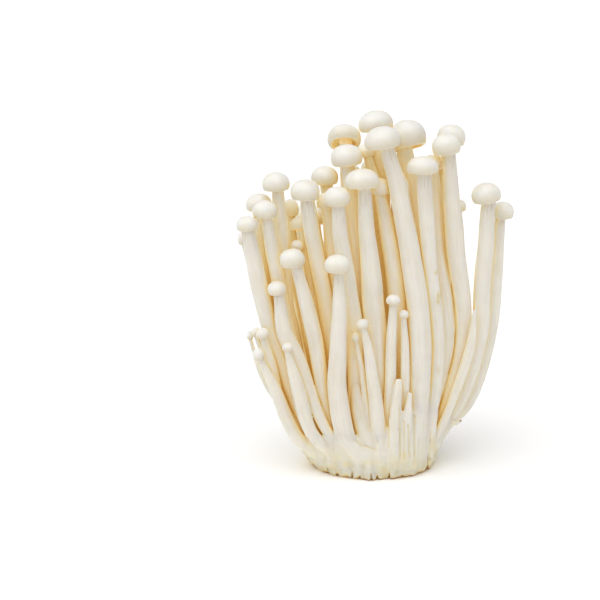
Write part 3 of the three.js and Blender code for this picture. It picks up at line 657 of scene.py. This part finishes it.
def on_base(turn, z, share):
    """A place on the root mass's outline, or nearer to its middle by the share."""
    half_x, half_y, middle = base_half_widths(z)
    out = base_outline(turn, z) * share
    return Vector((middle + out * half_x * math.cos(turn), out * half_y * math.sin(turn), z))


def root_core():
    bm = bmesh.new()
    row = [bm.verts.new((0, 0, CORE_LIFT))]
    row += [bm.verts.new((1, 0, z + CORE_LIFT)) for z, *_ in BASE_RINGS]
    row.append(bm.verts.new((0, 0, BASE_TOP)))
    spin_row(bm, row, BASE_SIDES)
    for vert in bm.verts:
        if math.hypot(vert.co.x, vert.co.y) > 0.5:
            vert.co = on_base(math.atan2(vert.co.y, vert.co.x), vert.co.z, CORE_SHARE)
    return bm


def add_tube(bm, rings):
    """A closed tube over (middle, side, back, up, half width) rings."""
    last = None
    for middle, side, back, up, half in rings:
        matrix = Matrix((side, back, up)).transposed().to_4x4()
        matrix.translation = middle
        made = bmesh.ops.create_circle(bm, cap_ends=False, segments=TUBE_SIDES, radius=half, matrix=matrix)
        edges = list(dict.fromkeys(edge for vert in made["verts"] for edge in vert.link_edges))
        if last:
            bmesh.ops.bridge_loops(bm, edges=last + edges)
        else:
            bmesh.ops.contextual_create(bm, geom=edges)
        last = edges
    bmesh.ops.contextual_create(bm, geom=last)


def foot_rings(mushroom):
    """The flared foot of a stem, which grows together with the root mass and its neighbours."""
    top = min(FOOT_TOP, mushroom.root + 0.5 * (mushroom.neck - mushroom.root))
    rings = []
    for step in range(FOOT_STEPS + 1):
        z = FOOT_BOTTOM + (top - FOOT_BOTTOM) * step / FOOT_STEPS
        in_stem = max(z, mushroom.root)
        middle, side, back, up = mushroom.stem_frame(in_stem)
        share = smooth(clamp((z - mushroom.root) / (top - mushroom.root)))
        full = max(FOOT_FULLNESS * mushroom.stem[1][2] / 2, mushroom.half(mushroom.root))
        half = full * (1 - share) + (mushroom.half(in_stem) - FOOT_INSET) * share
        if z < mushroom.root:
            middle = Vector((middle.x, middle.y, z))
            half_x, half_y, base_middle = base_half_widths(z)
            over = math.hypot((middle.x - base_middle) / (half_x - half), middle.y / (half_y - half))
            if over > 1:
                middle = Vector((base_middle + (middle.x - base_middle) / over, middle.y / over, z))
        rings.append((middle, side, back, up, half))
    return rings


def stub_rings(mushroom):
    """A broken stub, which leans back into the mass at its foot."""
    sinking, depth = STUB_SINKS
    rings = []
    for step in range(FOOT_STEPS + 1):
        share = step / FOOT_STEPS
        z = mushroom.root + (mushroom.neck - mushroom.root) * share
        middle, side, back, up = mushroom.stem_frame(z)
        middle = middle + Vector((0, depth * clamp(1 - share / sinking) ** 2, 0))
        rings.append((middle, side, back, up, mushroom.half(z) + STUB_EXTRA))
    return rings


def ridge_rings(turn, half, top):
    """A small fused stem that runs up the rim and ends in the mass."""
    rings = []
    for step in range(RIDGE_STEPS + 1):
        share = step / RIDGE_STEPS
        z = RIDGE_BOTTOM + (top - RIDGE_BOTTOM) * share
        inward = 0.93 - 0.12 * smooth(clamp((share - 0.5) * 2))
        slim = 1 - 0.5 * share
        middle = on_base(turn + 0.03 * math.sin(3 * share + 5 * turn), z, inward)
        rings.append((middle, Vector((1, 0, 0)), Vector((0, 1, 0)), Vector((0, 0, 1)), half * slim))
    return rings


def growth_rings(points):
    """A limb of the root mass along its points."""
    rings = []
    for i, (x, y, z, half) in enumerate(points):
        before, after = Vector(points[max(i - 1, 0)][:3]), Vector(points[min(i + 1, len(points) - 1)][:3])
        up = (after - before).normalized()
        rings.append((Vector((x, y, z)), *square_to(up), up, half))
    return rings


def strand_points(index):
    """One of the row of thin stems in front of the mass, from the cut rim up."""
    first, step, _, half = STRANDS
    x = first + step * index
    top = STRAND_TOP + 2.5 * math.sin(2.4 * index)
    half_x, half_y, middle = base_half_widths(STRAND_BOTTOM)
    cut_front = -CORE_SHARE * half_y * math.sqrt(1 - ((x - middle) / half_x) ** 2)
    back = STRANDS_BEND[0] * (x - STRANDS_BEND[1]) ** 2
    return [
        (x - 0.1, cut_front, STRAND_BOTTOM, half), (x - 0.1, back - 18.7, 5, half), (x, back - 18.4, 9, half),
        (x + 0.15, back - 17.6, 14, half), (x + 0.3, back - 16.4, top, 0.6 * half),
    ]


def fuse(draft):
    remesh = draft.modifiers.new("fuse", "REMESH")
    remesh.mode = "VOXEL"
    remesh.voxel_size = VOXEL
    remesh.adaptivity = 0
    rounding = draft.modifiers.new("round", "SMOOTH")
    rounding.factor, rounding.iterations = ROUNDING


def thin_out(draft):
    draft.modifiers.new("thin_out", "DECIMATE").ratio = FACES_KEPT


def modified(bm, add_modifiers):
    """The mesh as it comes out of the modifiers, as a new mesh."""
    mesh = bpy.data.meshes.new("root_draft")
    bm.to_mesh(mesh)
    bm.free()
    draft = new_object("root_draft", mesh)
    add_modifiers(draft)
    result = bmesh.new()
    result.from_object(draft, bpy.context.evaluated_depsgraph_get())
    bpy.data.objects.remove(draft)
    bpy.data.meshes.remove(mesh)
    return result


def crease_at(point):
    """How near a point of the front is to the bottom of a crease."""
    if point.y > CREASES_TO[0] or point.z > CREASES_TO[1]:
        return 0
    place = Vector((point.x, point.z))
    nearest = CREASE_HALF
    for line in CREASES:
        for first, second in zip(line, line[1:]):
            start, end = Vector(first), Vector(second)
            along = clamp((place - start).dot(end - start) / (end - start).length_squared)
            nearest = min(nearest, (place - start.lerp(end, along)).length)
    return smooth(1 - nearest / CREASE_HALF)


def crack_at(point):
    """How deep inside a crack a point of the rim is, and how deep the crack is."""
    x, y, z = point
    if y < 0:
        for middle, half, top, depth in CRACKS:
            share = clamp(1 - abs(x - middle) / half) * clamp((top - z) / (0.4 * top))
            if share > 0:
                return share, depth
    if y < -8 and x > -16:
        return 0, 0  # the front has only the cracks above
    turn = math.atan2(y, x)
    furrow = noise.noise(Vector((7 * math.cos(turn), 7 * math.sin(turn), 0.08 * z)))
    share = clamp(1 - abs(furrow) / 0.06) * clamp((3.2 - z) / 1.5) * clamp(4 * noise.noise(point * 0.2))
    return share, BACK_CRACK_DEPTH


def spot_at(point, spots):
    """How strongly a point of the front lies in one of the spots."""
    if point.y > 0:
        return 0
    return max(strength * clamp(1.6 - math.hypot((point.x - x) / reach_x, (point.z - z) / reach_z))
               for x, z, reach_x, reach_z, strength in spots)


def roughen_root(bm):
    """Cracks and crumbs on the cut rim, shallow furrows above it, and a flat underside."""
    bm.normal_update()
    stain_and_crack_shade = bm.verts.layers.float.new("stain_and_crack_shade")
    patch_and_crease_shade = bm.verts.layers.float.new("patch_and_crease_shade")
    for vert in bm.verts:
        x, y, z = vert.co
        turn = math.atan2(y, x)
        rim = clamp((5.5 - z) / 3)
        low = clamp((22 - z) / 8)
        crumbs = noise.fractal(vert.co * 0.6, 0.9, 2.1, 4)
        furrow = noise.noise(Vector((11 * math.cos(turn), 11 * math.sin(turn), 0.1 * z)))
        crack, depth = crack_at(vert.co)
        crease = crease_at(vert.co)
        # the brown marks, and painted shade in the cracks
        vert[stain_and_crack_shade] = max(crack, spot_at(vert.co, MARKS))
        # the yellow patches, and painted shade in the creases
        vert[patch_and_crease_shade] = max(spot_at(vert.co, PATCHES), 0.8 * crease)
        push = 0.28 * rim * crumbs + low * (0.2 * furrow + 0.05 * crumbs)
        vert.co += vert.normal * (push - depth * crack - CREASE_DEPTH * crease)
    for vert in bm.verts:
        vert.co.z = max(vert.co.z, 0)


def mark_grain(bm, mushrooms):
    """Each point takes the grain of the stem that it is nearest to."""
    grain = bm.verts.layers.float_vector.new("grain")
    heights = np.arange(0, FOOT_TOP + 4.0)
    middles = np.array([[mushroom.middle(clamp(z, mushroom.root, mushroom.neck))[:2] for z in heights]
                        for mushroom in mushrooms])
    for vert in bm.verts:
        level = clamp(vert.co.z, 0, len(heights) - 1.01)
        low = int(level)
        place = middles[:, low] * (low + 1 - level) + middles[:, low + 1] * (level - low)
        off = np.array(vert.co.xy) - place
        nearest = int(np.argmin((off ** 2).sum(axis=1)))
        vert[grain] = Vector((off[nearest][0], off[nearest][1], vert.co.z)) + mushrooms[nearest].seed()


def grow_root_mass(mushrooms, materials):
    bm = root_core()
    for mushroom in mushrooms:
        add_tube(bm, foot_rings(mushroom))
        if mushroom.fuller:
            add_tube(bm, stub_rings(mushroom))
    draw = seeded_draw(RIDGE_SEED)
    for i in range(RIDGE_COUNT):
        turn = FULL_TURN * (i + 0.8 * draw()) / RIDGE_COUNT
        half = RIDGE_HALF[0] + RIDGE_HALF[1] * draw()
        add_tube(bm, ridge_rings(turn, half, RIDGE_HEIGHT[0] + RIDGE_HEIGHT[1] * draw()))
    for points in GROWTHS + [strand_points(index) for index in range(STRANDS[2])]:
        add_tube(bm, growth_rings(points))
    bmesh.ops.recalc_face_normals(bm, faces=bm.faces)
    bm = modified(bm, fuse)
    roughen_root(bm)
    mark_grain(bm, mushrooms)
    bm = modified(bm, thin_out)
    return to_object("root_mass", bm, materials, "root_mass")


# ---- Materials ----

WHITE = (1, 1, 1)
BLACK = (0, 0, 0)


def grey(level):
    return level, level, level


STEM_PALE = (0.775, 0.745, 0.675)
STEM_SHADE = (0.715, 0.67, 0.57)
# painted shade: the top of the stem, under the cap, is darker
STEM_UNDER_CAP_SHADE = (0.66, 0.63, 0.56)
STEM_SCUFF = (0.42, 0.35, 0.25)
CAP_PALE = (0.785, 0.77, 0.73)
CAP_SHADE = (0.755, 0.73, 0.65)
# painted shade: the lower part of a cap, above its lip, is darker
CAP_LOW_SHADE = (0.61, 0.54, 0.385)
# the gills: cream flesh made orange and darker with painted shade under the cap
GILL_PALE = (0.88, 0.74, 0.50)
GILL_SHADE = (0.82, 0.60, 0.32)
ROOT_PALE = (0.74, 0.715, 0.635)
ROOT_TAN = (0.62, 0.53, 0.35)
ROOT_YELLOW = (0.74, 0.66, 0.43)
# brown of the real marks, and painted shade in the cracks
ROOT_STAIN_AND_CRACK_SHADE = (0.20, 0.09, 0.02)
FLECK_YELLOW = (0.65, 0.52, 0.18)

# Painted shade and painted glow in the gaps, by how open a place is: 0 in a deep gap, 1 in the open
GAP_REACH = 0.025
GAP_PAINTED_SHADE = [
    (0.03, (0.56, 0.28, 0.05)), (0.1, (0.90, 0.74, 0.44)), (0.18, (0.985, 0.955, 0.86)), (0.5, WHITE),
]
GAP_PAINTED_GLOW = [
    (0.02, (0.16, 0.075, 0.005)), (0.09, (0.28, 0.205, 0.048)), (0.2, (0.225, 0.186, 0.068)),
    (0.4, (0.10, 0.094, 0.046)), (0.7, BLACK),
]
# Painted shade in narrow creases, by how open a place is within this reach
CREASE_REACH = 0.003
CREASE_PAINTED_SHADE = [(0.05, (0.84, 0.68, 0.40)), (0.3, (0.94, 0.86, 0.66)), (0.6, WHITE)]
SHELTER_SAMPLES = 8
# strength of the painted glow on the caps and the share of the painted shade they take, then the painted glow
# on the gills and on the root mass
CAP_PAINTED_GLOW, CAP_PAINTED_SHADE_SHARE = 0.85, 0.6
GILL_PAINTED_GLOW = 1.3
ROOT_PAINTED_GLOW = 0.8

# Flesh: roughness and weight of the light scattered inside it
STEM_FINISH = (0.42, 0.45)
CAP_FINISH = (0.36, 0.45)
GILL_FINISH = (0.6, 0.5)
ROOT_FINISH = (0.55, 0.4)
SCATTER_RADIUS = (1.0, 0.78, 0.45)  # of red, green and blue light, against the scale
SCATTER_SCALE = 0.005
SHEEN = 0.35

# Patterns: scale, detail and stretch
STREAKS = (1.1, 5, (1, 1, 0.07))
STEM_CLOUDS = (0.16, 3)
SCUFFS = (1.7, 4, (1, 1, 0.12))
CAP_CLOUDS = (0.3, 4)
CAP_PORES = (4, 3)
GILL_CLOUDS = (1.2, 3)
GRIME = (260, 6)
ROOT_CLOUDS = (110, 4)
FLECK_CRUMBS = (700, 3)

# Bumps: distance and strength
STREAK_BUMP = (0.00012, 0.6)
PORE_BUMP = (0.00003, 0.4)
GRIME_BUMP = (0.0002, 0.5)

# Ramps: what a pattern or a share turns into
STREAK_RAMP = [(0.34, STEM_SHADE), (0.52, STEM_PALE), (1, STEM_PALE)]
STEM_CLOUD_RAMP = [(0.3, STEM_SHADE), (0.6, STEM_PALE)]
CLOUD_WEIGHT = 0.45
UNDER_CAP_SHADE_RAMP = [(0.84, BLACK), (1, grey(0.8))]
SCUFF_RAMP = [(0.52, BLACK), (0.72, grey(0.55))]
NEAR_CAP_RAMP = [(0.9, BLACK), (0.99, WHITE)]
CAP_CLOUD_RAMP = [(0.3, CAP_SHADE), (0.55, CAP_PALE)]
CAP_RISE = (0.95, 1.6)
CAP_LOW_SHADE_RAMP = [(0, grey(0.3)), (0.15, grey(0.7)), (0.4, grey(0.5)), (1, BLACK)]
GILL_RAMP = [(0.3, GILL_SHADE), (0.6, GILL_PALE)]
ROOT_RISE = (0, 0.02)
GRIME_RAMP = [(0.5, BLACK), (0.72, grey(0.8))]
ROOT_CLOUD_RAMP = [(0.5, BLACK), (0.64, grey(0.9))]
LOW_RAMP = [(0.25, WHITE), (0.5, grey(0.3)), (0.75, BLACK)]
CUT_EDGE_RAMP = [(0.01, grey(0.5)), (0.05, BLACK)]
# painted shade: the root mass is darker towards the cut face on the floor
LOW_SHADE_RAMP = [(0, grey(0.78)), (0.15, grey(0.84)), (0.35, WHITE)]
CRUMB_RAMP = [(0.38, BLACK), (0.6, WHITE)]
CRUMB_WEIGHT = 0.7
FLECK_EDGE = 0.35  # where a fleck begins to fade, as a share of its reach

# Each fleck: its centre, its reach along X, Y and Z, and its strength
FLECKS = [
    ((20.5, -7, 71.6), (1.1, 6, 1.1), 0.8),
    ((21.3, -7, 62.4), (0.9, 6, 3.4), 1),
    ((21.7, -7, 37), (0.9, 7, 2.2), 0.6),
]


class Look:
    """The nodes of a material or of the sky, which build up a colour and lead to its last node."""

    def __init__(self, owner, last="Principled BSDF"):
        owner.use_nodes = True
        self.owner = owner
        self.nodes, self.links = owner.node_tree.nodes, owner.node_tree.links
        self.last = self.nodes[last]

    def feed(self, node, values):
        """Sets each named input of a node, or links it to another node's output."""
        for name, value in values.items():
            socket = node.inputs[name]
            if isinstance(value, bpy.types.NodeSocket):
                self.links.new(value, socket)
            else:
                socket.default_value = (*value, 1) if socket.type == "RGBA" else value

    def add(self, kind, output, values, **settings):
        node = self.nodes.new("ShaderNode" + kind)
        for name, value in settings.items():
            setattr(node, name, value)
        self.feed(node, values)
        return node.outputs[output]

    def attribute(self, name, output="Fac"):
        return self.add("Attribute", output, {}, attribute_name=name)

    def place(self):
        return self.add("TexCoord", "Object", {})

    def pattern(self, vector, scale, detail, stretch=(1, 1, 1)):
        mapped = self.add("Mapping", "Vector", {"Vector": vector, "Scale": stretch})
        return self.add("TexNoise", "Fac", {"Vector": mapped, "Scale": scale, "Detail": detail})

    def ramp(self, value, stops):
        node = self.nodes.new("ShaderNodeValToRGB")
        elements = node.color_ramp.elements
        elements[0].position, elements[1].position = stops[0][0], stops[-1][0]
        for place, _ in stops[1:-1]:
            elements.new(place)
        for element, (_, colour) in zip(elements, stops):
            element.color = (*colour, 1)
        self.feed(node, {"Fac": value})
        return node.outputs["Color"]

    def share(self, value, low, high):
        """How far a value is on its way from low to high."""
        return self.add("MapRange", "Result", {"Value": value, "From Min": low, "From Max": high})

    def blend(self, factor, first, second, mode="MIX"):
        return self.add("Mix", "Result", {"Factor": factor, "A": first, "B": second},
                        data_type="RGBA", blend_type=mode)

    def vector_maths(self, operation, output, values):
        return self.add("VectorMath", output, dict(enumerate(values)), operation=operation)

    def bump(self, height, distance, strength):
        normal = self.add("Bump", "Normal", {"Height": height, "Distance": distance, "Strength": strength})
        self.feed(self.last, {"Normal": normal})

    def openness(self, reach):
        """How open a place is to its surroundings, within a reach."""
        return self.add("AmbientOcclusion", "AO", {"Distance": reach}, samples=SHELTER_SAMPLES)

    def paint_light_in_gaps(self, colour, painted_glow=1.0, shade_share=1.0):
        """Painted light and shade in the gaps: the colour is darkened and warmed where a place is sheltered,
        and a painted glow is added there, standing in for light that passes through the flesh.
        """
        wide = self.openness(GAP_REACH)
        # painted shade in narrow creases
        crease = self.ramp(self.openness(CREASE_REACH), CREASE_PAINTED_SHADE)
        # painted shade: darker and warmer in sheltered gaps
        colour = self.blend(shade_share, colour, self.ramp(wide, GAP_PAINTED_SHADE), "MULTIPLY")
        self.feed(self.last, {
            "Base Color": self.blend(shade_share, colour, crease, "MULTIPLY"),
            # painted glow: sheltered gaps give off light
            "Emission Color": self.ramp(wide, GAP_PAINTED_GLOW),
            "Emission Strength": painted_glow,
        })

    def soft_flesh(self, roughness, weight):
        self.feed(self.last, {
            "Roughness": roughness,
            "Subsurface Weight": weight,
            "Subsurface Radius": SCATTER_RADIUS,
            "Subsurface Scale": SCATTER_SCALE,
            "Specular IOR Level": SHEEN,
        })

    def stem_colour(self, grain):
        streaks = self.pattern(grain, *STREAKS)
        clouds = self.pattern(grain, *STEM_CLOUDS)
        colour = self.ramp(streaks, STREAK_RAMP)
        return self.blend(CLOUD_WEIGHT, colour, self.ramp(clouds, STEM_CLOUD_RAMP)), streaks

    def add_flecks(self, colour):
        """Dried yellow flecks on the front of the stems."""
        place = self.place()
        ragged = self.ramp(self.pattern(place, *FLECK_CRUMBS), CRUMB_RAMP)
        for centre, reach, strength in FLECKS:
            off = self.vector_maths("SUBTRACT", "Vector", (place, [value * MM for value in centre]))
            off = self.vector_maths("MULTIPLY", "Vector", (off, [1 / (value * MM) for value in reach]))
            away = self.vector_maths("LENGTH", "Value", (off,))
            mask = self.ramp(away, [(FLECK_EDGE, grey(strength)), (1, BLACK)])
            mask = self.blend(CRUMB_WEIGHT, mask, ragged, "MULTIPLY")
            colour = self.blend(mask, colour, FLECK_YELLOW)
        return colour


def stem_material():
    look = Look(bpy.data.materials.new("stem_flesh"))
    grain = look.attribute("grain", "Vector")
    rise = look.attribute("rise")
    colour, streaks = look.stem_colour(grain)
    # painted shade under the cap
    colour = look.blend(look.ramp(rise, UNDER_CAP_SHADE_RAMP), colour, STEM_UNDER_CAP_SHADE)
    scuffs = look.ramp(look.pattern(grain, *SCUFFS), SCUFF_RAMP)
    scuffs = look.blend(1, scuffs, look.ramp(rise, NEAR_CAP_RAMP), "MULTIPLY")
    colour = look.blend(scuffs, colour, STEM_SCUFF)
    look.paint_light_in_gaps(look.add_flecks(colour))
    look.soft_flesh(*STEM_FINISH)
    look.bump(streaks, *STREAK_BUMP)
    return look.owner


def cap_material():
    look = Look(bpy.data.materials.new("cap_skin"))
    grain = look.attribute("grain", "Vector")
    colour = look.ramp(look.pattern(grain, *CAP_CLOUDS), CAP_CLOUD_RAMP)
    rise = look.share(look.attribute("rise"), *CAP_RISE)
    # painted shade on the lower part of the cap, with a lighter lip
    colour = look.blend(look.ramp(rise, CAP_LOW_SHADE_RAMP), colour, CAP_LOW_SHADE)
    look.paint_light_in_gaps(colour, CAP_PAINTED_GLOW, CAP_PAINTED_SHADE_SHARE)
    look.soft_flesh(*CAP_FINISH)
    look.bump(look.pattern(grain, *CAP_PORES), *PORE_BUMP)
    return look.owner


def gill_material():
    look = Look(bpy.data.materials.new("gills"))
    colour = look.ramp(look.pattern(look.attribute("grain", "Vector"), *GILL_CLOUDS), GILL_RAMP)
    look.paint_light_in_gaps(colour, GILL_PAINTED_GLOW)
    look.soft_flesh(*GILL_FINISH)
    return look.owner


def root_material():
    look = Look(bpy.data.materials.new("root_flesh"))
    grain = look.attribute("grain", "Vector")
    place = look.place()
    rise = look.share(look.add("SeparateXYZ", "Z", {"Vector": place}), *ROOT_RISE)
    grime = look.pattern(place, *GRIME)
    low = look.blend(look.ramp(grime, GRIME_RAMP), ROOT_PALE, ROOT_TAN)
    low = look.blend(look.ramp(look.pattern(place, *ROOT_CLOUDS), ROOT_CLOUD_RAMP), low, ROOT_YELLOW)
    colour = look.blend(look.ramp(rise, LOW_RAMP), look.stem_colour(grain)[0], low)
    colour = look.blend(look.ramp(rise, CUT_EDGE_RAMP), colour, ROOT_TAN)
    # painted shade, darker towards the floor
    colour = look.blend(1, colour, look.ramp(rise, LOW_SHADE_RAMP), "MULTIPLY")
    # yellow patches, and painted shade in the creases
    colour = look.blend(look.attribute("patch_and_crease_shade"), colour, ROOT_YELLOW)
    # brown marks, and painted shade in the cracks
    colour = look.blend(look.attribute("stain_and_crack_shade"), colour, ROOT_STAIN_AND_CRACK_SHADE)
    look.paint_light_in_gaps(colour, ROOT_PAINTED_GLOW)
    look.soft_flesh(*ROOT_FINISH)
    look.bump(grime, *GRIME_BUMP)
    return look.owner


# ---- The bunch ----

def grow_bunch():
    groups = {"front": FRONT_MUSHROOMS, "back": back_mushrooms(), "pin": PINS}
    specs = [spec for group in groups.values() for spec in group]
    names = [f"{kind}_{i + 1:02d}" for kind, group in groups.items() for i in range(len(group))]
    columns = lay_out(specs)
    spread_apart(columns)
    mushrooms = [Mushroom(spec, columns, row) for row, spec in enumerate(specs)]
    materials = [stem_material(), cap_material(), gill_material()]
    for name, mushroom in zip(names, mushrooms):
        pin = name.startswith("pin")
        if pin and not mushroom.cap:
            continue  # a stub is grown with the root mass
        piece = grow_mushroom(f"grown_{name}", mushroom, materials)
        if not pin:
            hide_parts(f"mushroom_{name}")
    root = grow_root_mass(mushrooms, [root_material()])
    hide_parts("cut_base")


# ---- The stage ----

CAMERA_PLACE = (-0.0266, -0.5715, 0.1918)
CAMERA_DOWN = 13  # degrees below level
CAMERA_LENS = 100
CAMERA_SENSOR = 36
CAMERA_FAR = 100
FLOOR_HALF = 60
PAPER_ROUGHNESS = 0.9
SKY_LIGHT = 0.56  # the sky itself looks white
SUN_STRENGTH = 1.9
SUN_SPREAD = 75
SUN_TOWARDS = (0.22, 0.3, -1)


def build_stage():
    bm = bmesh.new()
    bmesh.ops.create_grid(bm, x_segments=1, y_segments=1, size=FLOOR_HALF / MM)
    paper = Look(bpy.data.materials.new("white_paper"))
    paper.feed(paper.last, {"Base Color": WHITE, "Roughness": PAPER_ROUGHNESS, "Specular IOR Level": 0})
    floor = to_object("floor", bm, [paper.owner], None)


def light_stage():
    sky = Look(bpy.data.worlds.new("studio"), "Background")
    seen = sky.add("LightPath", "Is Camera Ray", {})
    strength = sky.add("MapRange", "Result", {"Value": seen, "To Min": SKY_LIGHT})
    sky.feed(sky.last, {"Color": WHITE, "Strength": strength})
    bpy.context.scene.world = sky.owner
    data = bpy.data.lights.new("broad_light", "SUN")
    data.energy = SUN_STRENGTH
    data.angle = math.radians(SUN_SPREAD)
    lamp = new_object("broad_light", data)
    lamp.rotation_euler = Vector(SUN_TOWARDS).to_track_quat("-Z", "Y").to_euler()
    bpy.context.scene.view_settings.view_transform = "Standard"


def place_camera():
    data = bpy.data.cameras.new("camera")
    data.lens = CAMERA_LENS
    data.sensor_width = CAMERA_SENSOR
    data.clip_end = CAMERA_FAR
    camera = new_object("camera", data)
    camera.location = CAMERA_PLACE
    camera.rotation_euler = (math.radians(90 - CAMERA_DOWN), 0, 0)
    bpy.context.scene.camera = camera


place_camera()
build_stage()
light_stage()
grow_bunch()
